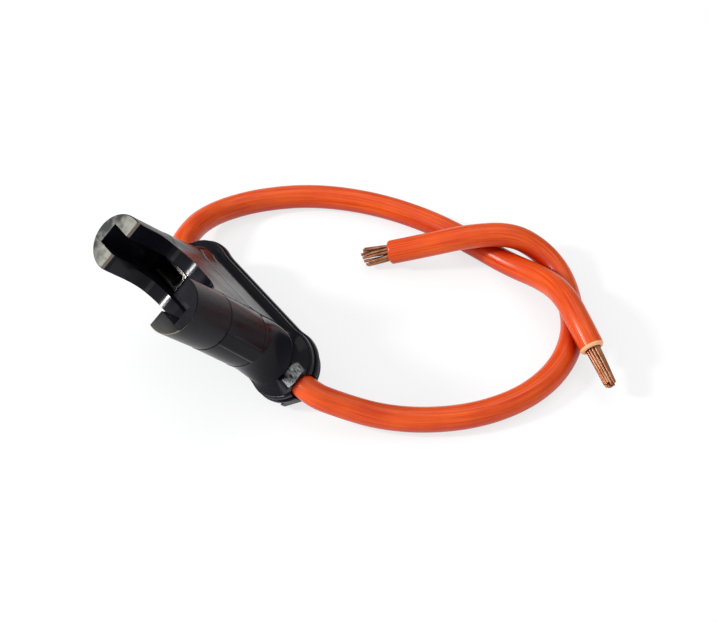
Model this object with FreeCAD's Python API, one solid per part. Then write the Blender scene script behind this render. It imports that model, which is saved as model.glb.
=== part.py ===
"""Inline holder for a standard blade fuse, with two short leads stripped at their far ends.

Millimetres, +Z up. The holder leans forward on the lower edge of its base, as its two bent leads
prop it, and the leads lie on the bench behind it. The origin is on the bench, under the middle of
the holder without its leads. The holder is built upright in its own frame and then set down:
X runs between the two wire exits, Y across the thickness, Z from the wires to the fuse opening,
and its origin is on the wires' line, halfway between the exits.
"""
import FreeCAD, Part
import os
from math import cos, degrees, hypot, pi, radians, sin, tan

Vector = FreeCAD.Vector
X_AXIS = Vector(1, 0, 0)
Y_AXIS = Vector(0, 1, 0)
Z_AXIS = Vector(0, 0, 1)
UPRIGHT = Vector(0, 0, 0)

# Pose on the bench
lean_deg = 37.0

# The fuse that the slot takes
fuse_width = 19.1
fuse_edge_thickness = 3.0
fuse_middle_thickness = 3.7
blade_pitch = 10.6
blade_width = 5.2
blade_thickness = 0.65
slot_end_clearance = 0.2
slot_side_clearance = 0.15
slot_depth = 10.8

# Socket: the tall moulding with two lobes, the finger scoop and the skirt
face_height = 25.0
end_wall = 1.75
lobe_wall = 2.65
waist_wall = 2.05
waist_blend = 8.0
facet_depth = 0.1
scoop_half_width = 6.3
scoop_floor = 15.2
scoop_corner = 5.3
scoop_bevel = 0.35
scoop_bevel_height = 1.2
upper_step_height = 16.5
upper_step = 0.08
lower_step_height = 8.4
lower_step = 0.08
taper_growth = 0.68
rib_half_width = 1.25
rib_rise = 0.65
rib_top_rise = 0.02
rib_foot = 9.0
rib_rounding = 0.55
face_rounding = 0.2
skirt_half_length = 14.3
skirt_bottom = 3.05
skirt_lip = 0.4
skirt_rounding = 0.3
skirt_side = 0.18
socket_side_wall = 1.3
socket_floor = 10.6
spigot_bottom = 1.5
spigot_wall = 0.9
window_clearance = 0.7

# Base: the flared moulding under the skirt
flange_half_length = 16.6
flange_radius = 5.35
flange_waist = 5.08
flange_thickness = 1.2
flange_rounding = 0.25
neck_half_length = 13.7
neck_radius = 3.95
neck_waist = 3.75
spigot_clearance = 0.1
spigot_floor = 1.3

# Cover: the plate with its shallow tray that closes the base from below
rim_overhang = 0.3
rim_side_overhang = 0.22
rim_thickness = 0.9
rim_rounding = 0.2
tray_inset = 1.0
tray_side_inset = 1.07
tray_depth = 3.2
tray_rounding = 0.5
lip_inset = 0.4
lip_length = 1.8
lip_front = 4.7
lip_end_front = 2.1
lip_back = 3.4
lip_end_back = 1.2
lip_thickness = 1.2

# Wire: 12 gauge, nineteen strands
jacket_diameter = 3.8
conductor_diameter = 2.36
strand_diameter = 0.46
conductor_fit = 0.02
exit_clearance = 0.25
exit_boss_inset = 0.3
boss_half_width = 2.85
boss_shoulder_height = 1.3
boss_crest_half_width = 1.5
boss_slope = 0.42
boss_rounding = 1.0
exit_top_wall = 0.45
exit_land = 2.4
crimp_channel_radius = 2.5

# Terminals: folded from strip
strip = 0.5
floor_step = 0.06
crimp_fit = 0.02
barrel_start = 9.2
barrel_length = 2.6
barrel_slit_deg = 24.0
grip_length = 1.4
grip_start = 12.9
leaf_foot = 6.3
leaf_shoulder = 8.2
leaf_contact = 11.4
leaf_top = 13.5
leaf_half_spread = 1.45
leaf_pinch = 0.05
hoop_height = 0.5
hoop_wall = 0.4
hoop_rounding = 1.2

# The leads' routes beyond the exits, on the bench, and their bare ends
bench_height = jacket_diameter / 2
crossing_height = 6.05
left_route = [
    (-20.3, 9.9, 4.7),
    (-22.5, 14.0, 3.6),
    (-23.3, 19.0, 2.5),
    (-22.0, 25.4, bench_height),
    (-17.8, 32.6, bench_height),
    (-10.9, 39.1, bench_height),
    (-2.5, 43.9, bench_height),
    (5.9, 46.6, bench_height),
    (13.2, 48.3, 2.0),
    (20.5, 49.4, 4.2),
    (26.0, 48.4, crossing_height),
    (31.6, 46.5, crossing_height),
    (35.4, 45.6, 4.9),
]
right_route = [
    (21.3, 9.2, 3.9),
    (25.9, 13.7, 2.2),
    (30.5, 19.3, bench_height),
    (34.0, 26.1, bench_height),
    (35.4, 33.6, bench_height),
    (34.2, 40.9, bench_height),
    (30.1, 47.4, bench_height),
    (24.1, 51.5, bench_height),
    (19.3, 53.5, 2.3),
    (14.8, 53.1, 3.9),
    (11.1, 50.2, crossing_height),
    (7.5, 44.4, crossing_height),
    (4.2, 39.0, 4.6),
    (0.8, 34.5, 2.9),
]
lead_start = 13.3
bend_gap = 0.7
left_bare_length = 6.9
right_bare_length = 4.7
left_spread = 1.0
right_spread = 1.25
left_twist_deg = 26.0
right_twist_deg = 18.0

# Worked out from the sizes above
slot_half_length = fuse_width / 2 + slot_end_clearance
slot_end_half = fuse_edge_thickness / 2 + slot_side_clearance
slot_middle_half = fuse_middle_thickness / 2 + slot_side_clearance
lobe_half_length = slot_half_length + end_wall
lobe_radius = slot_end_half + lobe_wall
waist_half = slot_middle_half + waist_wall
seat_height = face_height - slot_depth
jacket_radius = jacket_diameter / 2
conductor_radius = conductor_diameter / 2
strand_radius = strand_diameter / 2
exit_hole_radius = jacket_radius + exit_clearance
rim_half_length = flange_half_length + rim_overhang
rim_radius = flange_radius + rim_side_overhang
rim_waist = flange_waist + rim_side_overhang
lip_end = rim_half_length - lip_inset
bend_start = rim_half_length + bend_gap
exit_land_start = rim_half_length - exit_land
back_plate = blade_pitch / 2 + blade_width / 2


def section(half_length, end_radius, waist, height):
    """Outline of one level: two round ends joined by slightly hollow sides."""
    blend = waist_blend
    end_x = half_length - end_radius
    reach = ((end_radius + blend) ** 2 - (waist + blend) ** 2) ** 0.5
    turn = reach / (end_radius + blend)
    rise = (waist + blend) / (end_radius + blend)
    touch_x = end_x - end_radius * turn
    touch_y = end_radius * rise
    flat_x = end_x - reach
    half_turn = (turn / 2, (1 - turn ** 2 / 4) ** 0.5)
    mid_x = flat_x + blend * half_turn[0]
    mid_y = waist + blend * (1 - half_turn[1])

    def point(x, y):
        return Vector(x, y, height)

    edges = [
        Part.Arc(point(touch_x, -touch_y), point(half_length, 0), point(touch_x, touch_y)).toShape(),
        Part.Arc(point(touch_x, touch_y), point(mid_x, mid_y), point(flat_x, waist)).toShape(),
        Part.LineSegment(point(flat_x, waist), point(-flat_x, waist)).toShape(),
        Part.Arc(point(-flat_x, waist), point(-mid_x, mid_y), point(-touch_x, touch_y)).toShape(),
        Part.Arc(point(-touch_x, touch_y), point(-half_length, 0), point(-touch_x, -touch_y)).toShape(),
        Part.Arc(point(-touch_x, -touch_y), point(-mid_x, -mid_y), point(-flat_x, -waist)).toShape(),
        Part.LineSegment(point(-flat_x, -waist), point(flat_x, -waist)).toShape(),
        Part.Arc(point(flat_x, -waist), point(mid_x, -mid_y), point(touch_x, -touch_y)).toShape(),
    ]
    return Part.Wire(edges)


def prism(half_length, end_radius, waist, low, high):
    """Upright solid of one outline between two levels."""
    return Part.Face(section(half_length, end_radius, waist, low)).extrude(Vector(0, 0, high - low))


def round_levels(solid, rounding, levels):
    """Upright solid with its level edges at the named heights rounded."""
    edges = []
    for edge in solid.Edges:
        box = edge.BoundBox
        if any(abs(box.ZMin - level) < 0.01 and abs(box.ZMax - level) < 0.01 for level in levels):
            edges.append(edge)
    return solid.makeFillet(rounding, edges)


def loft(levels, ruled=False):
    """Solid through several outlines, each given as half length, end radius, waist and height."""
    return Part.makeLoft([section(*level) for level in levels], True, ruled)


def block(low_x, high_x, half_y, low_z, high_z):
    """Box centred across the thickness."""
    corner = Vector(low_x, -half_y, low_z)
    return Part.makeBox(high_x - low_x, 2 * half_y, high_z - low_z, corner)


def rod(radius, start, end):
    """Round bar between two points."""
    axis = end - start
    return Part.makeCylinder(radius, axis.Length, start, axis)


def plate(points, depth):
    """Flat outline given as points, pushed out along the vector depth."""
    return Part.Face(Part.makePolygon(points + points[:1])).extrude(depth)


def on_both_ends(shape):
    """The shape at the +X end and its mirror image at the other end."""
    return [shape, shape.mirror(UPRIGHT, X_AXIS)]


def set_down(shape, place):
    """Lean a holder piece forward and stand it on the bench."""
    placed = shape.copy()
    placed.rotate(UPRIGHT, X_AXIS, lean_deg)
    placed.translate(place)
    return placed


def crimp_channels():
    """The space round both crimps, open from the terminal's back plate to the land at the exit."""
    start = back_plate - strip - window_clearance / 2
    return on_both_ends(rod(crimp_channel_radius, Vector(start, 0, 0), Vector(exit_land_start, 0, 0)))


def exit_holes():
    """The two wire holes, from the crimps out through the ends."""
    outside = rim_half_length + exit_land
    return on_both_ends(rod(exit_hole_radius, Vector(lead_start, 0, 0), Vector(outside, 0, 0)))


def scoop_cut():
    """The finger scoop: a wide trough across the thickness, with a bevelled mouth."""
    top = face_height + 1
    edge = scoop_half_width
    mouth = edge + scoop_bevel * (1 + 1 / scoop_bevel_height)
    bevel_foot = face_height - scoop_bevel_height
    corner_x = edge - scoop_corner
    corner_z = scoop_floor + scoop_corner
    slant = scoop_corner * cos(pi / 4)

    def point(x, z):
        return Vector(x, -flange_radius, z)

    bend_x = corner_x + slant
    bend_z = corner_z - slant
    edges = [
        Part.LineSegment(point(-mouth, top), point(-edge, bevel_foot)),
        Part.LineSegment(point(-edge, bevel_foot), point(-edge, corner_z)),
        Part.Arc(point(-edge, corner_z), point(-bend_x, bend_z), point(-corner_x, scoop_floor)),
        Part.LineSegment(point(-corner_x, scoop_floor), point(corner_x, scoop_floor)),
        Part.Arc(point(corner_x, scoop_floor), point(bend_x, bend_z), point(edge, corner_z)),
        Part.LineSegment(point(edge, corner_z), point(edge, bevel_foot)),
        Part.LineSegment(point(edge, bevel_foot), point(mouth, top)),
        Part.LineSegment(point(mouth, top), point(-mouth, top)),
    ]
    outline = Part.Wire([edge_curve.toShape() for edge_curve in edges])
    return Part.Face(outline).extrude(Vector(0, 2 * flange_radius, 0))


def end_rib():
    """The rounded rib down the +X end, from the upper step to just above the lower one."""
    top_x = lobe_half_length + upper_step + rib_top_rise
    foot_x = lobe_half_length + upper_step + taper_growth + rib_rise
    inner = foot_x - 1.2
    half = rib_half_width
    corner_x = foot_x - rib_rounding
    corner_y = half - rib_rounding
    round_x = corner_x + rib_rounding * cos(pi / 4)
    round_y = corner_y + rib_rounding * sin(pi / 4)

    def point(x, y):
        return Vector(x, y, rib_foot)

    edges = [
        Part.LineSegment(point(inner, -half), point(corner_x, -half)),
        Part.Arc(point(corner_x, -half), point(round_x, -round_y), point(foot_x, -corner_y)),
        Part.LineSegment(point(foot_x, -corner_y), point(foot_x, corner_y)),
        Part.Arc(point(foot_x, corner_y), point(round_x, round_y), point(corner_x, half)),
        Part.LineSegment(point(corner_x, half), point(inner, half)),
        Part.LineSegment(point(inner, half), point(inner, -half)),
    ]
    outline = Part.Wire([edge.toShape() for edge in edges])
    return Part.Face(outline).extrude(Vector(top_x - foot_x, 0, upper_step_height - rib_foot))


def make_socket():
    """The tall moulding that takes the fuse."""
    taper_length = lobe_half_length + upper_step
    taper_radius = lobe_radius + upper_step / 2
    hip_length = taper_length + taper_growth
    skirt_radius = waist_half + 2 * skirt_side
    skirt_waist = waist_half + skirt_side
    hip = (hip_length + lower_step, taper_radius + lower_step / 2, waist_half + 0.02, lower_step_height)
    skirt_top = skirt_bottom + skirt_lip
    flare = skirt_half_length - hip[0]
    drop = lower_step_height - skirt_top
    body = prism(lobe_half_length, lobe_radius, waist_half, upper_step_height, face_height)
    body = round_levels(body, face_rounding, [face_height])
    body = body.fuse(loft([
        (hip_length, taper_radius, waist_half, lower_step_height),
        (taper_length, taper_radius, waist_half, upper_step_height),
    ], ruled=True))
    body = body.fuse(loft([
        (skirt_half_length, skirt_radius, skirt_waist, skirt_top),
        (skirt_half_length - 0.45 * flare, skirt_radius + 0.02, skirt_waist - 0.04, skirt_top + 0.22 * drop),
        (hip[0] + 0.2 * flare, hip[1] - 0.05, hip[2] + 0.04, skirt_top + 0.55 * drop),
        hip,
    ]))
    skirt = prism(skirt_half_length, skirt_radius, skirt_waist, skirt_bottom, skirt_top)
    body = body.fuse(round_levels(skirt, skirt_rounding, [skirt_bottom]))
    body = body.fuse(on_both_ends(end_rib()))
    spigot_half = waist_half - socket_side_wall + spigot_wall
    spigot_length = neck_half_length - spigot_wall - 0.6
    body = body.fuse(prism(spigot_length, spigot_half + 0.1, spigot_half, spigot_bottom, skirt_bottom))
    body = body.removeSplitter()
    hollow_half = waist_half - socket_side_wall
    hollow_length = lobe_half_length - socket_side_wall
    cuts = [
        scoop_cut(),
        block(-slot_half_length, slot_half_length, slot_end_half, seat_height, face_height + 1),
        block(-scoop_half_width, scoop_half_width, slot_middle_half, seat_height, face_height + 1),
        prism(hollow_length, hollow_half + 0.1, hollow_half, spigot_bottom - 1, socket_floor),
    ]
    facet_low = face_height - facet_depth
    facet = block(slot_half_length - 0.1, lobe_half_length + 1, slot_end_half, facet_low, face_height + 1)
    cuts += on_both_ends(facet)
    window_low = blade_pitch / 2 - blade_width / 2 - window_clearance
    window_high = back_plate + strip + window_clearance / 2
    window_half = leaf_half_spread + window_clearance / 2
    cuts += on_both_ends(block(window_low, window_high, window_half, socket_floor - 1, seat_height + 1))
    cuts += crimp_channels()
    return body.cut(cuts).removeSplitter()


def exit_boss():
    """The upper half of the +X wire exit: a sloping block that fills the groove round the wire."""
    front_x = flange_half_length - exit_boss_inset
    front_top = exit_hole_radius + exit_top_wall

    def outline(x, top):
        half = [(boss_half_width, 0), (boss_half_width, boss_shoulder_height), (boss_crest_half_width, top)]
        points = [Vector(x, y, z) for y, z in half] + [Vector(x, -y, z) for y, z in reversed(half)]
        return Part.makePolygon(points + points[:1])

    back = outline(lobe_half_length, front_top + boss_slope)
    boss = Part.makeLoft([back, outline(front_x, front_top)], True, True)
    long_edges = [edge for edge in boss.Edges if edge.BoundBox.XLength > 1]
    crest_edges = [edge for edge in long_edges if edge.BoundBox.ZMin > front_top - 0.1]
    boss = boss.makeFillet(boss_rounding, crest_edges)
    end_radius = flange_radius - exit_boss_inset
    waist = flange_waist - exit_boss_inset
    return boss.common(prism(front_x, end_radius, waist, 0, skirt_bottom))


def make_base():
    """The flared moulding under the skirt, with the upper halves of the wire exits."""
    length = flange_half_length
    low = flange_thickness
    rise = skirt_bottom - low
    span = length - neck_half_length
    body = prism(length, flange_radius, flange_waist, 0, low)
    body = round_levels(body, flange_rounding, [low])
    body = body.fuse(loft([
        (length - 0.12 * span, flange_radius - 0.3, flange_waist - 0.3, low),
        (length - 0.50 * span, flange_radius - 0.75, flange_waist - 0.7, low + 0.22 * rise),
        (length - 0.84 * span, neck_radius + 0.22, neck_waist + 0.2, low + 0.58 * rise),
        (neck_half_length, neck_radius, neck_waist, skirt_bottom),
    ]))
    body = body.fuse(on_both_ends(exit_boss())).removeSplitter()
    spigot_half = waist_half - socket_side_wall + spigot_wall + spigot_clearance
    spigot_length = neck_half_length - spigot_wall - 0.6 + spigot_clearance
    cuts = [prism(spigot_length, spigot_half + 0.1, spigot_half, spigot_floor, skirt_bottom + 1)]
    cuts += crimp_channels() + exit_holes()
    return body.cut(cuts).removeSplitter()


def make_cover():
    """The bottom plate with its tray, and the lower halves of the wire exits."""
    body = prism(rim_half_length, rim_radius, rim_waist, -rim_thickness, 0)
    body = round_levels(body, rim_rounding, [-rim_thickness, 0])
    tray_half_length = rim_half_length - tray_inset
    tray_radius = rim_radius - tray_side_inset
    tray_waist = rim_waist - tray_side_inset
    tray = prism(tray_half_length, tray_radius, tray_waist, -tray_depth, -rim_thickness)
    body = body.fuse(round_levels(tray, tray_rounding, [-tray_depth]))
    lip_start = lip_end - lip_length
    lip_bottom = -rim_thickness - lip_thickness
    lip = plate([
        Vector(lip_start, -lip_front, lip_bottom),
        Vector(lip_end, -lip_end_front, lip_bottom),
        Vector(lip_end, lip_end_back, lip_bottom),
        Vector(lip_start, lip_back, lip_bottom),
    ], Vector(0, 0, lip_thickness))
    body = body.fuse(on_both_ends(lip)).removeSplitter()
    return body.cut(crimp_channels() + exit_holes()).removeSplitter()


def split_tube(inner, length, start):
    """Crimped barrel round the wire's line, rolled from strip, with its slit on top."""
    outer = inner + strip
    ring = rod(outer, Vector(start, 0, 0), Vector(start + length, 0, 0))
    ring = ring.cut(rod(inner, Vector(start - 1, 0, 0), Vector(start + length + 1, 0, 0)))
    half = outer * tan(radians(barrel_slit_deg / 2))
    return ring.cut(block(start - 1, start + length + 1, half, 0, outer + 1))


def leaf_hoop():
    """The rounded band that joins the tops of the two leaves on the side of the other terminal."""
    low = blade_pitch / 2 - blade_width / 2
    high = blade_pitch / 2 + blade_width / 2
    foot = leaf_top - hoop_height
    outer = block(low, high, leaf_half_spread, foot, leaf_top)
    inner = block(low + hoop_wall, high + 1, leaf_half_spread - hoop_wall, foot - 1, leaf_top + 1)
    rounded = []
    for shape, rounding in ((outer, hoop_rounding), (inner, hoop_rounding - hoop_wall)):
        upright = [edge for edge in shape.Edges if edge.BoundBox.ZLength > hoop_height / 2]
        corners = [edge for edge in upright if edge.BoundBox.XMax < blade_pitch / 2]
        rounded.append(shape.makeFillet(rounding, corners))
    return rounded[0].cut(rounded[1])


def make_terminal():
    """The +X terminal: wire crimps, back plate and two spring leaves, folded from one strip."""
    barrel_inner = conductor_radius + crimp_fit
    grip_inner = jacket_radius + crimp_fit
    barrel_end = barrel_start + barrel_length
    barrel_low = floor_step - barrel_inner - strip
    barrel_top = -barrel_inner - floor_step
    grip_low = floor_step - grip_inner - strip
    grip_top = -grip_inner - floor_step
    neck_half = barrel_inner * 0.8
    barrel = split_tube(barrel_inner, barrel_length, barrel_start)
    grip = split_tube(grip_inner, grip_length, grip_start)
    bridge = plate([
        Vector(barrel_end - strip, -neck_half, barrel_low),
        Vector(grip_start + strip, -neck_half, grip_low),
        Vector(grip_start + strip, -neck_half, grip_top),
        Vector(barrel_end - strip, -neck_half, barrel_top),
    ], Vector(0, 2 * neck_half, 0))
    floor = block(back_plate, barrel_start + strip, neck_half, barrel_low, barrel_top)
    back = block(back_plate, back_plate + strip, leaf_half_spread, barrel_low, leaf_shoulder)
    pinch = blade_thickness / 2 - leaf_pinch
    leaf = plate([
        Vector(blade_pitch / 2 - blade_width / 2, leaf_half_spread, leaf_foot),
        Vector(blade_pitch / 2 - blade_width / 2, leaf_half_spread, leaf_shoulder),
        Vector(blade_pitch / 2 - blade_width / 2, pinch + strip, leaf_contact),
        Vector(blade_pitch / 2 - blade_width / 2, leaf_half_spread, leaf_top),
        Vector(blade_pitch / 2 - blade_width / 2, leaf_half_spread - strip, leaf_top),
        Vector(blade_pitch / 2 - blade_width / 2, pinch, leaf_contact),
        Vector(blade_pitch / 2 - blade_width / 2, leaf_half_spread - strip, leaf_shoulder - 0.1),
        Vector(blade_pitch / 2 - blade_width / 2, leaf_half_spread - strip, leaf_foot),
    ], Vector(blade_width, 0, 0))
    pieces = [grip, bridge, floor, back, leaf, leaf.mirror(UPRIGHT, Y_AXIS), leaf_hoop()]
    return barrel.fuse(pieces).removeSplitter()


def route_path(points):
    """Straight runs joined by tangent arcs; returns the wire, its length and the arcs' radii."""
    edges = []
    radii = []
    start = points[0]
    for before, corner, after in zip(points, points[1:], points[2:]):
        way_in = (corner - before).normalize()
        way_out = (after - corner).normalize()
        turn = way_in.getAngle(way_out)
        reach = 0.45 * min((corner - before).Length, (after - corner).Length)
        radius = reach / tan(turn / 2)
        arc_start = corner - way_in * reach
        arc_end = corner + way_out * reach
        inward = (way_out - way_in).normalize()
        middle = corner + inward * (hypot(radius, reach) - radius)
        edges.append(Part.LineSegment(start, arc_start).toShape())
        edges.append(Part.Arc(arc_start, middle, arc_end).toShape())
        radii.append(radius)
        start = arc_end
    edges.append(Part.LineSegment(start, points[-1]).toShape())
    path = Part.Wire(edges)
    return path, path.Length, radii


def sweep(path, radius):
    """Round tube solid along a path."""
    first = path.Edges[0]
    start = first.Vertexes[0].Point
    along = first.tangentAt(first.FirstParameter)
    ring = Part.Wire(Part.makeCircle(radius, start, along))
    return path.makePipeShell([ring], True, False)


def wrap(points, name):
    """The jacket and the conductor of one lead along its route, with the printed check of both."""
    path, length, radii = route_path(points)
    outer = sweep(path, jacket_radius)
    inner = sweep(path, conductor_radius + conductor_fit)
    core = sweep(path, conductor_radius)
    expected = pi * jacket_radius ** 2 * length
    print(name, "length %.1f" % length, "radii", [round(radius, 1) for radius in radii])
    print(name, "turns", [round(degrees(a.getAngle(b))) for a, b in zip(
        [q - p for p, q in zip(points, points[1:])], [q - p for p, q in zip(points[1:], points[2:])])])
    print(name, "volume against section times length %.4f" % (outer.Volume / expected))
    return outer.cut(inner), core


def bare_strands(points, length, spread, twist_deg):
    """Nineteen straight strands in two rings round a middle one, from the jacket's cut end."""
    start = points[-1]
    along = (points[-1] - points[-2]).normalize()
    across = along.cross(Z_AXIS).normalize()
    up = across.cross(along)
    layout = [(0.0, 0.0)]
    for count in (6, 12):
        ring = strand_diameter * 1.03 * count / 6
        layout += [(ring, 2 * pi * i / count) for i in range(count)]
    strands = []
    for ring, angle in layout:
        far_angle = angle + radians(twist_deg)
        near = start + across * (ring * cos(angle)) + up * (ring * sin(angle))
        far = start + along * length
        far += across * (ring * spread * cos(far_angle)) + up * (ring * spread * sin(far_angle))
        strands.append(rod(strand_radius, near, far))
    return Part.makeCompound(strands)


socket = make_socket()
base = make_base()
cover = make_cover()
terminal = make_terminal()

holder = Part.makeCompound([piece.copy() for piece in (socket, base, cover)])
holder.rotate(UPRIGHT, X_AXIS, lean_deg)
box = holder.optimalBoundingBox(False)
wire_line = Vector(0, -(box.YMin + box.YMax) / 2, -box.ZMin)

nodes = {
    "fuse_socket": set_down(socket, wire_line),
    "wire_base": set_down(base, wire_line),
    "bottom_cover": set_down(cover, wire_line),
    "right_terminal": set_down(terminal, wire_line),
    "left_terminal": set_down(terminal.mirror(UPRIGHT, X_AXIS), wire_line),
}

leads = (
    ("left", -1, left_route, left_bare_length, left_spread, left_twist_deg),
    ("right", 1, right_route, right_bare_length, right_spread, right_twist_deg),
)
for side, sign, route, bare_length, spread, twist_deg in leads:
    straight = [wire_line + Vector(sign * lead_start, 0, 0), wire_line + Vector(sign * bend_start, 0, 0)]
    points = straight + [Vector(*place) for place in route]
    jacket, core = wrap(points, side + " lead")
    stub = rod(conductor_radius, wire_line + Vector(sign * barrel_start, 0, 0), points[0])
    nodes[side + "_lead_jacket"] = jacket
    nodes[side + "_lead_conductor"] = core.fuse(stub).removeSplitter()
    nodes[side + "_lead_bare_strands"] = bare_strands(points, bare_length, spread, twist_deg)

os.makedirs("parts", exist_ok=True)
for name, shape in nodes.items():
    shape.exportStep("parts/" + name + ".step")
    print(name, "solids", len(shape.Solids), "valid", shape.isValid(), "volume %.1f" % shape.Volume)
print("wire line at", [round(value, 3) for value in wire_line])
print("holder box", [round(value, 2) for value in (box.XLength, box.YLength, box.ZLength)])
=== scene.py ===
"""Inline blade-fuse holder with two orange leads, on a pale floor."""

import bmesh
import bpy
from math import cos, pi, radians, sin
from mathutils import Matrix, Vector
from random import Random


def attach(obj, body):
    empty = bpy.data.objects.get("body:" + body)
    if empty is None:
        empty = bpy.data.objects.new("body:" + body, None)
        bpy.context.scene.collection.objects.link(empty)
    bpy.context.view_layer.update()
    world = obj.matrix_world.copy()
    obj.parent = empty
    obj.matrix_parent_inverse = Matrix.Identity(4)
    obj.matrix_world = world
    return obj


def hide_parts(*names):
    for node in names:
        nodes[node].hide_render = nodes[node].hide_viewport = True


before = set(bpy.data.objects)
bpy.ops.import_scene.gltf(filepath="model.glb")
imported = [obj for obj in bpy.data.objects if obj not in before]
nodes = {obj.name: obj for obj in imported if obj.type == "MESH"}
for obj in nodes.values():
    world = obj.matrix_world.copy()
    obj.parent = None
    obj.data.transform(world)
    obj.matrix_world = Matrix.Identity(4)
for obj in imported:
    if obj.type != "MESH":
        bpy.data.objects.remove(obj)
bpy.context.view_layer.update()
MM = 0.001

# The holder's own axes, as it leans, and the middle of the line through its two wires
LEAN = radians(37)
UP = Vector((0, -sin(LEAN), cos(LEAN)))
BACK = Vector((0, cos(LEAN), sin(LEAN)))
ACROSS = Vector((1, 0, 0))
WIRE_LINE = Vector((0, 6.54, 5.064)) * MM

# Its forms, in mm along those axes from that middle
FACE_HEIGHT = 25.0
SCOOP_FLOOR = 15.0
SCOOP_HALF = 6.9
UPPER_STEP = 16.5
LOWER_STEP = 8.4

# Limits of the marks on its plastic, in mm along the same axes; a third number softens the borders
TOP_BAND = (FACE_HEIGHT - 0.55, FACE_HEIGHT - 0.5)
LOWER_BAND = (LOWER_STEP - 0.1, LOWER_STEP + 0.1)
UPPER_BAND = (UPPER_STEP - 0.1, UPPER_STEP + 0.1)
# Where the steps carry painted light
LOWER_LEDGE = (LOWER_STEP - 0.2, LOWER_STEP + 0.2, 0.02)
UPPER_LEDGE = (UPPER_STEP - 0.2, UPPER_STEP + 0.2, 0.02)
SCOOP_SIDE = (-SCOOP_HALF, SCOOP_HALF, 0.1)
SCOOP_BAND = (SCOOP_FLOOR - 0.3, SCOOP_FLOOR)
# Where the -X lobe's inner face carries a painted sheen
MOUTH_SIDE = (-7.4, 0, 0.05)
# Where the +X opening face's front edge carries a painted highlight
RIM_SIDE = (6.0, 6.5)
RIM_DEPTH = (-1.5, 0.5)
# Where the opening faces carry a painted reflection, across them and at their front, and where it is
# painted brighter by the -X slot
SHEEN_SIDE = (-7.0, 5.0)
SHEEN_FRONT = (-3.5, -1.0)
SHEEN_STRIP_SIDE = (-10.5, -7.2)
SMOOTH_SIDE = (0, 5.0)
SMOOTH_DEPTH = (-4.0, -1.0)
# Where the rough area above the right exit lies, which also carries a painted glint
PATCH_SIDE = (13.9, 14.2)
PATCH_DEPTH = (0.3, 3.3, 0.7)
PATCH_BAND = (2.0, 4.0, 0.15)

# Limits of how far a marked surface faces up, or across for the sheen on the -X lobe's inner face, as
# cosines
FACE_TURN = (0.9, 0.97)
MOUTH_TURN = (0.8, 0.9)
RIM_TURN = (0.35, 0.93, 0.05)
LEDGE_TURN = (0.3, 0.7)
PATCH_TURN = (0.4, 0.6)

# How strongly the opening faces show their painted reflection, from the -X end to the +X end and from
# their front backwards
SHEEN_SHARE = (1.0, 0.02)
SHEEN_FRONT_SHARE = (0.12, 0.0)

# What each mark adds to the plastic's roughness. The smooth mark is as strong as what it takes off,
# which grows from the front of the opening faces backwards.
ROUGHER = {"above_lower": 0.05, "above_upper": 0.06, "scoop": -0.05, "smooth": -1.0, "rough_glint": 0.15}
SMOOTH_AMOUNT = (0.05, 0.17)

# Colours of the plastic; a pair is the two ends of a mottle
DARK = ((0.0030, 0.0029, 0.0054), (0.0056, 0.0053, 0.0094))
# Painted reflection: the light grey of the opening faces, where their satin mirrors the light
FACE_SHEEN_GREY = ((0.030, 0.032, 0.033), (0.26, 0.25, 0.215))
# Painted glint: the speckled grey of the rough area above the right exit, where its rough surface
# catches the light
ROUGH_GLINT_GREY = ((0.015, 0.015, 0.017), (0.45, 0.44, 0.46))
MARK_COLOURS = {
    # Painted sheen: the light warm grey of the -X lobe's inner face by the opening
    "inner_face_sheen": (0.20, 0.165, 0.135),
    # Painted light: the steps' partly upturned faces drawn lighter than the plastic
    "step_light": (0.022, 0.021, 0.024),
    # Painted highlight: a thin light yellowish line along that edge
    "outer_edge_highlight": (0.20, 0.19, 0.13),
}

# The Mix node's sockets for colours
MIX_FIRST = 6
MIX_SECOND = 7
MIX_RESULT = 2


# Shader nodes

def feed(tree, node, values):
    """Sets inputs to plain values, or links them to the sockets given."""
    for key, value in values.items():
        if isinstance(value, bpy.types.NodeSocket):
            tree.links.new(value, node.inputs[key])
        else:
            node.inputs[key].default_value = value


def add(tree, kind, values=None, **settings):
    """A node with its settings and inputs."""
    node = tree.nodes.new(kind)
    for key, value in settings.items():
        setattr(node, key, value)
    feed(tree, node, values or {})
    return node


def new_material(name, colour, roughness, metallic=0.0, ior=1.45):
    """A principled material with plain values, its node tree and its shader."""
    material = bpy.data.materials.new(name)
    material.use_nodes = True
    tree = material.node_tree
    shader = tree.nodes["Principled BSDF"]
    feed(tree, shader, {"Base Color": (*colour, 1.0), "Roughness": roughness, "Metallic": metallic,
                        "IOR": ior})
    return material, tree, shader


def object_place(tree):
    return add(tree, "ShaderNodeTexCoord").outputs["Object"]


def noise(tree, vector, scale, detail=3.0):
    values = {"Vector": vector, "Scale": scale, "Detail": detail}
    return add(tree, "ShaderNodeTexNoise", values).outputs["Fac"]


def spread(tree, value, over=(0.0, 1.0), to=(0.0, 1.0)):
    """The value's range "over" laid out to the range "to", and held at its ends."""
    values = {"Value": value,
              "From Min": over[0], "From Max": over[1], "To Min": to[0], "To Max": to[1]}
    return add(tree, "ShaderNodeMapRange", values).outputs["Result"]


def blend(tree, factor, first, second):
    """The first colour where the factor is 0, the second where it is 1."""
    node = add(tree, "ShaderNodeMix", {"Factor": factor}, data_type="RGBA")
    for index, colour in ((MIX_FIRST, first), (MIX_SECOND, second)):
        if not isinstance(colour, bpy.types.NodeSocket):
            colour = (*colour, 1.0)
        feed(tree, node, {index: colour})
    return node.outputs[MIX_RESULT]


def total(tree, first, second, operation="ADD"):
    return add(tree, "ShaderNodeMath", {0: first, 1: second}, operation=operation).outputs["Value"]


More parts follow.
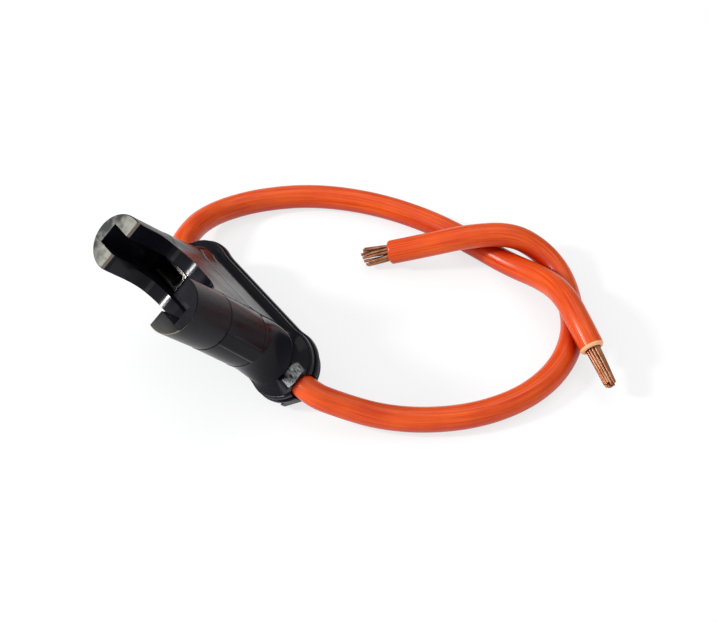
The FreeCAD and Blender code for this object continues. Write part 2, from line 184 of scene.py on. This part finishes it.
def product(tree, first, *others):
    for other in others:
        first = total(tree, first, other, "MULTIPLY")
    return first


def facing(tree, vector, direction):
    """The dot product of a vector with a direction."""
    node = add(tree, "ShaderNodeVectorMath", {0: vector, 1: direction}, operation="DOT_PRODUCT")
    return node.outputs["Value"]


def measure(tree, place, direction):
    """How far along a direction a place lies from the middle of the wires' line."""
    return total(tree, facing(tree, place, direction), WIRE_LINE.dot(direction), "SUBTRACT")


def within(tree, value, low, high, soft):
    """1 between low and high, 0 outside, with soft borders."""
    above = spread(tree, value, over=(low - soft, low + soft))
    return product(tree, above, spread(tree, value, over=(high - soft, high + soft), to=(1.0, 0.0)))


def bevelled(tree, radius):
    """The normal with edges rounded to a radius."""
    return add(tree, "ShaderNodeBevel", {"Radius": radius}, samples=6).outputs["Normal"]


def bump(tree, height, strength, distance, normal=None):
    values = {"Height": height, "Strength": strength, "Distance": distance}
    if normal:
        values["Normal"] = normal
    return add(tree, "ShaderNodeBump", values).outputs["Normal"]


# Materials

def from_mm(limits):
    """Limits in mm as metres."""
    return tuple(limit * MM for limit in limits)


def plastic_marks(tree, place, exit_rough_glint):
    """Masks of the places where the plastic differs, 0 off the mark and mostly 1 on it."""
    normal = add(tree, "ShaderNodeNewGeometry").outputs["Normal"]
    height = measure(tree, place, UP)
    side = measure(tree, place, ACROSS)
    depth = measure(tree, place, BACK)
    turned_up = facing(tree, normal, UP)
    turned_across = facing(tree, normal, ACROSS)
    near_top = spread(tree, height, over=from_mm(TOP_BAND))
    face = product(tree, near_top, spread(tree, turned_up, over=FACE_TURN))
    lower_ledge = within(tree, height, *from_mm(LOWER_LEDGE))
    upper_ledge = within(tree, height, *from_mm(UPPER_LEDGE))
    # Painted reflection on the opening faces, strongest at the -X end and a little along their front
    painted_sheen_side = product(tree, face, spread(tree, side, over=from_mm(SHEEN_SIDE), to=SHEEN_SHARE))
    painted_sheen_front = product(tree, face, spread(tree, depth, over=from_mm(SHEEN_FRONT), to=SHEEN_FRONT_SHARE))
    return {
        "above_lower": spread(tree, height, over=from_mm(LOWER_BAND)),
        "above_upper": spread(tree, height, over=from_mm(UPPER_BAND)),
        "scoop": product(tree, within(tree, side, *from_mm(SCOOP_SIDE)),
                         spread(tree, height, over=from_mm(SCOOP_BAND))),
        # Painted sheen on the -X lobe's inner face near the top, which turns towards +X
        "inner_face_sheen": product(tree, near_top, within(tree, side, *from_mm(MOUTH_SIDE)),
                         spread(tree, turned_across, over=MOUTH_TURN)),
        # Painted highlight along the rounded front edge of the +X opening face
        "outer_edge_highlight": product(tree, near_top, within(tree, turned_up, *RIM_TURN),
                       spread(tree, side, over=from_mm(RIM_SIDE)),
                       spread(tree, depth, over=from_mm(RIM_DEPTH), to=(1.0, 0.0))),
        # Painted light on the steps' faces that turn partly up
        "step_light": product(tree, total(tree, lower_ledge, upper_ledge),
                         spread(tree, turned_up, over=LEDGE_TURN)),
        "painted_sheen": total(tree, painted_sheen_side, painted_sheen_front),
        # How much brighter the painted reflection is, growing towards the -X slot
        "pale": spread(tree, side, over=from_mm(SHEEN_STRIP_SIDE)),
        "smooth": product(tree, face, spread(tree, side, over=from_mm(SMOOTH_SIDE)),
                          spread(tree, depth, over=from_mm(SMOOTH_DEPTH), to=SMOOTH_AMOUNT)),
        # The rough area above the right exit: rougher and more bumpy for real, with a painted glint in
        # its colour
        "rough_glint": product(tree, within(tree, depth, *from_mm(PATCH_DEPTH)),
                         within(tree, height, *from_mm(PATCH_BAND)),
                         spread(tree, side, over=from_mm(PATCH_SIDE), to=(0.0, exit_rough_glint)),
                         spread(tree, turned_up, over=PATCH_TURN)),
    }


def moulded_plastic(name, grain, edge_radius, rough, exit_rough_glint=0.0):
    """Black plastic, glossy below the steps and satin above them, with a painted reflection on the
    opening faces and painted light on a few edges and steps.

    exit_rough_glint is how strongly the rough area above the right exit shows, with its painted glint.
    """
    material, tree, shader = new_material(name, (0.004, 0.0042, 0.005), 0.3, ior=1.42)
    place = object_place(tree)
    marks = plastic_marks(tree, place, exit_rough_glint)
    cloud = noise(tree, place, scale=160.0, detail=4.0)
    mottle = noise(tree, place, scale=900.0, detail=5.0)
    fine = noise(tree, place, scale=2600.0, detail=2.0)
    brushed = add(tree, "ShaderNodeVectorMath", {0: place, 1: (0.35, 1.0, 1.0)}, operation="MULTIPLY")
    speckle = noise(tree, brushed.outputs["Vector"], scale=3200.0)
    speckle = spread(tree, speckle, over=(0.3, 0.75))
    gloss = spread(tree, cloud, over=(0.35, 0.65), to=(rough - 0.04, rough + 0.06))
    for mark, amount in ROUGHER.items():
        gloss = total(tree, gloss, product(tree, marks[mark], amount))
    # The opening faces' painted reflection, brighter towards the -X slot and mottled, over the
    # plastic's own dark mottle
    pale = total(tree, marks["pale"], spread(tree, mottle, over=(0.35, 0.65), to=(-0.35, 0.35)))
    colour = blend(tree, marks["painted_sheen"], blend(tree, cloud, *DARK), blend(tree, pale, *FACE_SHEEN_GREY))
    # Painted sheen, painted light on the steps and a painted highlight on the +X face's front edge,
    # laid over the plastic's colour
    for mark, mark_colour in MARK_COLOURS.items():
        colour = blend(tree, marks[mark], colour, mark_colour)
    # The painted glint on the rough area above the right exit
    colour = blend(tree, marks["rough_glint"], colour, blend(tree, speckle, *ROUGH_GLINT_GREY))
    soft = bump(tree, cloud, strength=0.25, distance=0.00012, normal=bevelled(tree, edge_radius))
    relief = product(tree, fine, spread(tree, marks["rough_glint"], to=(1.0, 2.5)))
    feed(tree, shader, {"Base Color": colour, "Roughness": gloss, "Specular IOR Level": 0.18,
                        "Normal": bump(tree, relief, strength=grain, distance=0.00001, normal=soft)})
    return material


def orange_jacket():
    """Smooth orange insulation with lengthwise streaks, and painted shade: a deeper red where it lies
    close to things.
    """
    material, tree, shader = new_material("orange_jacket", (0.82, 0.10, 0.012), 0.38)
    coordinates = add(tree, "ShaderNodeTexCoord").outputs
    stretched = add(tree, "ShaderNodeMapping", {"Vector": coordinates["UV"], "Scale": (9.0, 60.0, 1.0)})
    streaks = noise(tree, stretched.outputs["Vector"], scale=1.0, detail=4.0)
    cloud = noise(tree, coordinates["Object"], scale=220.0)
    tone = total(tree, spread(tree, streaks, over=(0.32, 0.68), to=(0.0, 0.75)),
                 spread(tree, cloud, over=(0.3, 0.7), to=(0.0, 0.25)))
    colour = blend(tree, tone, (0.50, 0.022, 0.001), (0.84, 0.118, 0.008))
    # Painted shade: a deeper red where other things lie close round the jacket
    painted_contact_shade = add(tree, "ShaderNodeAmbientOcclusion", {"Distance": 5.0 * MM}, samples=8).outputs["AO"]
    colour = blend(tree, spread(tree, painted_contact_shade, over=(0.35, 0.95)), (0.40, 0.008, 0.001), colour)
    relief = bump(tree, streaks, strength=0.3, distance=0.00003)
    relief = bump(tree, cloud, strength=0.35, distance=0.00010, normal=relief)
    feed(tree, shader, {"Base Color": colour, "Roughness": spread(tree, tone, to=(0.36, 0.24)),
                        "Specular IOR Level": 0.34, "Normal": relief})
    return material


def jacket_cut():
    """The paler cut face of the insulation."""
    material, tree, shader = new_material("jacket_cut", (0.95, 0.50, 0.26), 0.5)
    grain = noise(tree, object_place(tree), scale=3500.0)
    feed(tree, shader, {"Base Color": blend(tree, grain, (0.92, 0.40, 0.18), (0.98, 0.56, 0.31)),
                        "Normal": bump(tree, grain, strength=0.5, distance=0.00003)})
    return material


def tinned_metal():
    """Tinned strip metal with bright rounded edges."""
    material, tree, shader = new_material("tinned_metal", (0.4, 0.39, 0.35), 0.2, 1.0)
    cloud = noise(tree, object_place(tree), scale=500.0, detail=2.0)
    feed(tree, shader, {"Base Color": blend(tree, cloud, (0.40, 0.39, 0.34), (0.52, 0.51, 0.45)),
                        "Roughness": spread(tree, cloud, over=(0.3, 0.7), to=(0.18, 0.26)),
                        "Normal": bevelled(tree, 0.12 * MM)})
    return material


def copper():
    """Bare copper, browner in places and paler in others."""
    material, tree, shader = new_material("copper", (0.56, 0.30, 0.18), 0.4, 1.0)
    cloud = noise(tree, object_place(tree), scale=750.0, detail=1.0)
    tone = spread(tree, cloud, over=(0.35, 0.65))
    feed(tree, shader, {"Base Color": blend(tree, tone, (0.29, 0.098, 0.044), (0.43, 0.215, 0.120)),
                        "Roughness": spread(tree, cloud, over=(0.3, 0.7), to=(0.36, 0.50))})
    return material


SOCKET_BLACK = moulded_plastic("socket_plastic", grain=0.25, edge_radius=0.035 * MM, rough=0.16)
BASE_BLACK = moulded_plastic("base_plastic", grain=0.45, edge_radius=0.12 * MM, rough=0.2,
                             exit_rough_glint=1.0)
COVER_BLACK = moulded_plastic("cover_plastic", grain=0.35, edge_radius=0.15 * MM, rough=0.2)
ORANGE = orange_jacket()
CUT = jacket_cut()
METAL = tinned_metal()
COPPER = copper()


# Mesh pieces

ROUND_STRAND_SIDES = 16
ROUND_CUT_SIDES = 64
SHARP_ANGLE = radians(40)


def paint(piece, *materials):
    if piece.data.materials:
        piece.data.materials.clear()
    for material in materials:
        piece.data.materials.append(material)


def new_object(name, data):
    """An object of the data in the scene's collection."""
    thing = bpy.data.objects.new(name, data)
    bpy.context.collection.objects.link(thing)
    return thing


def mesh_piece(name, bm, *materials):
    """A finished piece from a bmesh, smooth, painted and carried by the part."""
    bmesh.ops.recalc_face_normals(bm, faces=bm.faces)
    mesh = bpy.data.meshes.new(name)
    for face in bm.faces:
        face.smooth = True
    bm.to_mesh(mesh)
    bm.free()
    mesh.set_sharp_from_angle(angle=SHARP_ANGLE)
    piece = new_object(name, mesh)
    paint(piece, *materials)
    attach(piece, "root")
    return piece


def cross_axes(direction):
    """Two unit vectors square to a direction and to each other, the second one pointing up."""
    across = direction.cross(Vector((0, 0, 1))).normalized()
    return across, across.cross(direction).normalized()


def around(axes, angle):
    """The unit vector at an angle from the first axis towards the second."""
    across, up = axes
    return across * cos(angle) + up * sin(angle)


def add_ring(bm, centre, axes, radius, sides):
    """A ring of vertices round a centre."""
    angles = [2 * pi * step / sides for step in range(sides)]
    return [bm.verts.new(centre + around(axes, angle) * radius) for angle in angles]


def add_band(bm, first, second, material=0):
    """Faces from a ring to the next one, which may be a single vertex."""
    sides = len(first)
    for step in range(sides):
        after = (step + 1) % sides
        if len(second) == 1:
            corners = (first[step], first[after], second[0])
        else:
            corners = (first[step], first[after], second[after], second[step])
        bm.faces.new(corners).material_index = material


def add_tube(bm, points, radius):
    """A round tube through the points, with flat ends."""
    rings = []
    last = len(points) - 1
    for index, point in enumerate(points):
        ahead = points[min(index + 1, last)]
        behind = points[max(index - 1, 0)]
        axes = cross_axes((ahead - behind).normalized())
        rings.append(add_ring(bm, point, axes, radius, ROUND_STRAND_SIDES))
    for first, second in zip(rings, rings[1:]):
        add_band(bm, first, second)
    bm.faces.new(list(reversed(rings[0])))
    bm.faces.new(rings[-1])


def add_turned(bm, start, direction, profile):
    """A turned surface from (along, radius, material) rows; a radius of 0 closes it."""
    axes = cross_axes(direction)
    rings = []
    for along, radius, _ in profile:
        centre = start + direction * along
        if radius == 0:
            rings.append([bm.verts.new(centre)])
        else:
            rings.append(add_ring(bm, centre, axes, radius, ROUND_CUT_SIDES))
    for first, second, (_, _, material) in zip(rings, rings[1:], profile[1:]):
        add_band(bm, first, second, material)


# Leads

# The solids' route points in mm, but for the second one of each lead, at its exit. That one lies up to
# 0.3 mm towards the bend's outer side, so that the spline, which cuts corners, clears the exit's edge.
LEFT_ROUTE = [
    (-13.3, 6.54, 5.064), (-17.6, 6.27, 5.064), (-20.3, 9.9, 4.7), (-22.5, 14.0, 3.6),
    (-23.3, 19.0, 2.5), (-22.0, 25.4, 1.9), (-17.8, 32.6, 1.9), (-10.9, 39.1, 1.9),
    (-2.5, 43.9, 1.9), (5.9, 46.6, 1.9), (13.2, 48.3, 2.0), (20.5, 49.4, 4.2),
    (26.0, 48.4, 6.05), (31.6, 46.5, 6.05), (35.4, 45.6, 4.9),
]
RIGHT_ROUTE = [
    (13.3, 6.54, 5.064), (17.6, 6.32, 5.16), (21.3, 9.2, 3.9), (25.9, 13.7, 2.2),
    (30.5, 19.3, 1.9), (34.0, 26.1, 1.9), (35.4, 33.6, 1.9), (34.2, 40.9, 1.9),
    (30.1, 47.4, 1.9), (24.1, 51.5, 1.9), (19.3, 53.5, 2.3), (14.8, 53.1, 3.9),
    (11.1, 50.2, 6.05), (7.5, 44.4, 6.05), (4.2, 39.0, 4.6), (0.8, 34.5, 2.9),
]
JACKET_RADIUS = 1.9 * MM

# Nineteen strands to a lead: one in the middle and two layers round it
STRAND_RADIUS = 0.225 * MM
STRAND_LAYERS = (6, 12)
LAYER_STEP = 2.06 * STRAND_RADIUS
OUTER_LAYER = 3 * STRAND_RADIUS
STRAND_STEPS = 12
STRAND_ROOT = -1.5 * MM

# Ranges of each strand's chances
REACH_CHANCE_MM = (-0.3, 0.15)
RAGGED_CHANCE = (0.2, 1.0)
LEAN_CHANCE = (-0.14, 0.14)
BOW_CHANCE_MM = (0.0, 0.07)

# Profiles of the cut ends, as mm beyond the jacket's end, radius in mm and slot (0 jacket, 1 cut face)
LEFT_CUT = [
    (-0.05, 1.9, 0), (0.05, 1.9, 0), (0.10, 1.89, 1), (0.25, 1.83, 1), (0.42, 1.70, 1), (0.52, 1.52, 1),
    (0.53, 1.38, 1), (0.45, 1.28, 1), (0.2, 1.22, 1), (-1.4, 1.20, 0), (-1.4, 0, 0),
]
RIGHT_CUT = [
    (0.0, 1.9, 0), (0.15, 1.87, 0), (0.32, 1.76, 0), (0.45, 1.58, 0), (0.50, 1.40, 0), (0.46, 1.26, 1),
    (0.3, 1.2, 1), (-0.9, 1.19, 0), (-0.9, 0, 0),
]


def jacket(name, route):
    """The jacket as a round curve on its route, with the end point and direction of its line."""
    curve = bpy.data.curves.new(name, "CURVE")
    curve.dimensions = "3D"
    spline = curve.splines.new("NURBS")
    spline.points.add(len(route) - 1)
    for point, place in zip(spline.points, route):
        point.co = (place[0] * MM, place[1] * MM, place[2] * MM, 1.0)
        point.radius = JACKET_RADIUS
    spline.order_u = 3
    spline.use_endpoint_u = True
    spline.resolution_u = 12
    piece = new_object(name, curve)
    line = [vertex.co.copy() for vertex in bpy.data.meshes.new_from_object(piece).vertices]
    # The bevel comes only after the line is read. Its depth of 1 leaves the size to the points' radius.
    curve.bevel_depth = 1.0
    curve.bevel_resolution = 10
    paint(piece, ORANGE)
    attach(piece, "root")
    return piece, line[-1], (line[-1] - line[-2]).normalized()


def strands(name, end, direction, length, tip, twist_deg, ragged, seed):
    """Copper strands out of a jacket's end, in a twisted bundle with ragged tips.

    tip is the bundle's width at its tips as a share of its width at its root.
    """
    chance = Random(seed)
    axes = cross_axes(direction)
    layout = [(0.0, 0.0)]
    for count in STRAND_LAYERS:
        ring = LAYER_STEP * count / STRAND_LAYERS[0]
        layout += [(ring, 2 * pi * step / count) for step in range(count)]
    bm = bmesh.new()
    for ring, angle in layout:
        uneven = chance.uniform(*REACH_CHANCE_MM) * MM
        frayed = ragged * chance.uniform(*RAGGED_CHANCE) * (ring > OUTER_LAYER)
        reach = length + uneven - frayed
        lean = chance.uniform(*LEAN_CHANCE)
        bow = chance.uniform(*BOW_CHANCE_MM) * MM
        points = []
        for step in range(STRAND_STEPS + 1):
            part = step / STRAND_STEPS
            turn = angle + (radians(twist_deg) + lean) * part
            out = ring * (1 + (tip - 1) * part) + bow * sin(pi * part)
            along = STRAND_ROOT + (reach - STRAND_ROOT) * part
            points.append(end + direction * along + around(axes, turn) * out)
        add_tube(bm, points, STRAND_RADIUS)
    return mesh_piece(name, bm, COPPER)


def cut_end(name, end, direction, profile):
    """The jacket's cut end round its strands."""
    bm = bmesh.new()
    add_turned(bm, end, direction, [(along * MM, radius * MM, slot) for along, radius, slot in profile])
    return mesh_piece(name, bm, ORANGE, CUT)


left, left_end, left_way = jacket("left_jacket", LEFT_ROUTE)
right, right_end, right_way = jacket("right_jacket", RIGHT_ROUTE)
left_strands = strands("left_strands", left_end, left_way,
                       length=6.9 * MM, tip=0.80, twist_deg=26, ragged=0.5 * MM, seed=3)
right_strands = strands("right_strands", right_end, right_way,
                        length=4.9 * MM, tip=1.42, twist_deg=22, ragged=1.1 * MM, seed=8)
left_cut = cut_end("left_cut_end", left_end, left_way, LEFT_CUT)
right_cut = cut_end("right_cut_end", right_end, right_way, RIGHT_CUT)
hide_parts("left_lead_jacket", "left_lead_conductor")
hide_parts("right_lead_jacket", "right_lead_conductor")
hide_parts("left_lead_bare_strands")
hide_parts("right_lead_bare_strands")

paint(nodes["fuse_socket"], SOCKET_BLACK)
paint(nodes["wire_base"], BASE_BLACK)
paint(nodes["bottom_cover"], COVER_BLACK)
paint(nodes["right_terminal"], METAL)
paint(nodes["left_terminal"], METAL)


# Floor, light and camera

FLOOR_SIZE = 3.0
FLOOR_WHITE = 0.93
# The share of plain white that the camera and glossy surfaces see; the rest is lit and keeps the shadow
FLOOR_GLOW = 0.72
# The way to the sky's brightest side, and its level over how far a ray goes that way
SKY_WAY = (0.35, -0.65, 0.67)
SKY_REACH = (-0.3, 0.9)
SKY_LEVEL = (0.28, 0.95)
SKY_COLOUR = (0.96, 0.98, 1.0, 1.0)
CAMERA_PLACE = (0.1413, -0.07572, 0.19184)
CAMERA_DOWN_DEG = 48.709
CAMERA_TURN_DEG = 53.592
CAMERA_LENS = 82.11

floor_mesh = bpy.data.meshes.new("floor")
bm = bmesh.new()
bmesh.ops.create_grid(bm, x_segments=1, y_segments=1, size=FLOOR_SIZE)
bm.to_mesh(floor_mesh)
bm.free()
floor = new_object("floor", floor_mesh)
floor_material, floor_tree, floor_shader = new_material("floor", (FLOOR_WHITE,) * 3, 0.8)
path = add(floor_tree, "ShaderNodeLightPath").outputs
seen = total(floor_tree, path["Is Camera Ray"], path["Is Glossy Ray"], "MAXIMUM")
seen = total(floor_tree, seen, path["Is Transmission Ray"], "MAXIMUM")
glow = add(floor_tree, "ShaderNodeEmission", {"Strength": 1.0}).outputs["Emission"]
mixed = add(floor_tree, "ShaderNodeMixShader",
            {0: product(floor_tree, seen, FLOOR_GLOW), 1: floor_shader.outputs["BSDF"], 2: glow})
feed(floor_tree, floor_tree.nodes["Material Output"], {"Surface": mixed.outputs["Shader"]})
paint(floor, floor_material)

world = bpy.data.worlds.new("studio")
bpy.context.scene.world = world
world.use_nodes = True
sky = world.node_tree
lit = facing(sky, add(sky, "ShaderNodeTexCoord").outputs["Generated"], SKY_WAY)
strength = spread(sky, lit, over=SKY_REACH, to=SKY_LEVEL)
feed(sky, sky.nodes["Background"], {"Color": SKY_COLOUR, "Strength": strength})


def lamp(name, place, target, size, power):
    """A square soft lamp that shines at a target."""
    data = bpy.data.lights.new(name, "AREA")
    data.energy = power
    data.shape = "RECTANGLE"
    data.size = data.size_y = size
    light = new_object(name, data)
    light.location = place
    light.rotation_euler = (Vector(target) - Vector(place)).to_track_quat("-Z", "Y").to_euler()


lamp("side", (-0.19, -0.34, 0.29), target=(0, 0, 0.01), size=0.06, power=1.7)
lamp("back", (-0.15, 0.25, 0.60), target=(0, 0.02, 0), size=0.5, power=0.9)

camera_data = bpy.data.cameras.new("camera")
camera_data.sensor_width = 36.0
camera_data.lens = CAMERA_LENS
camera_data.clip_start = 0.01
camera = new_object("camera", camera_data)
camera.location = CAMERA_PLACE
camera.rotation_euler = (radians(90 - CAMERA_DOWN_DEG), 0, radians(CAMERA_TURN_DEG))
bpy.context.scene.camera = camera
bpy.context.scene.view_settings.view_transform = "Standard"

bpy.context.view_layer.update()
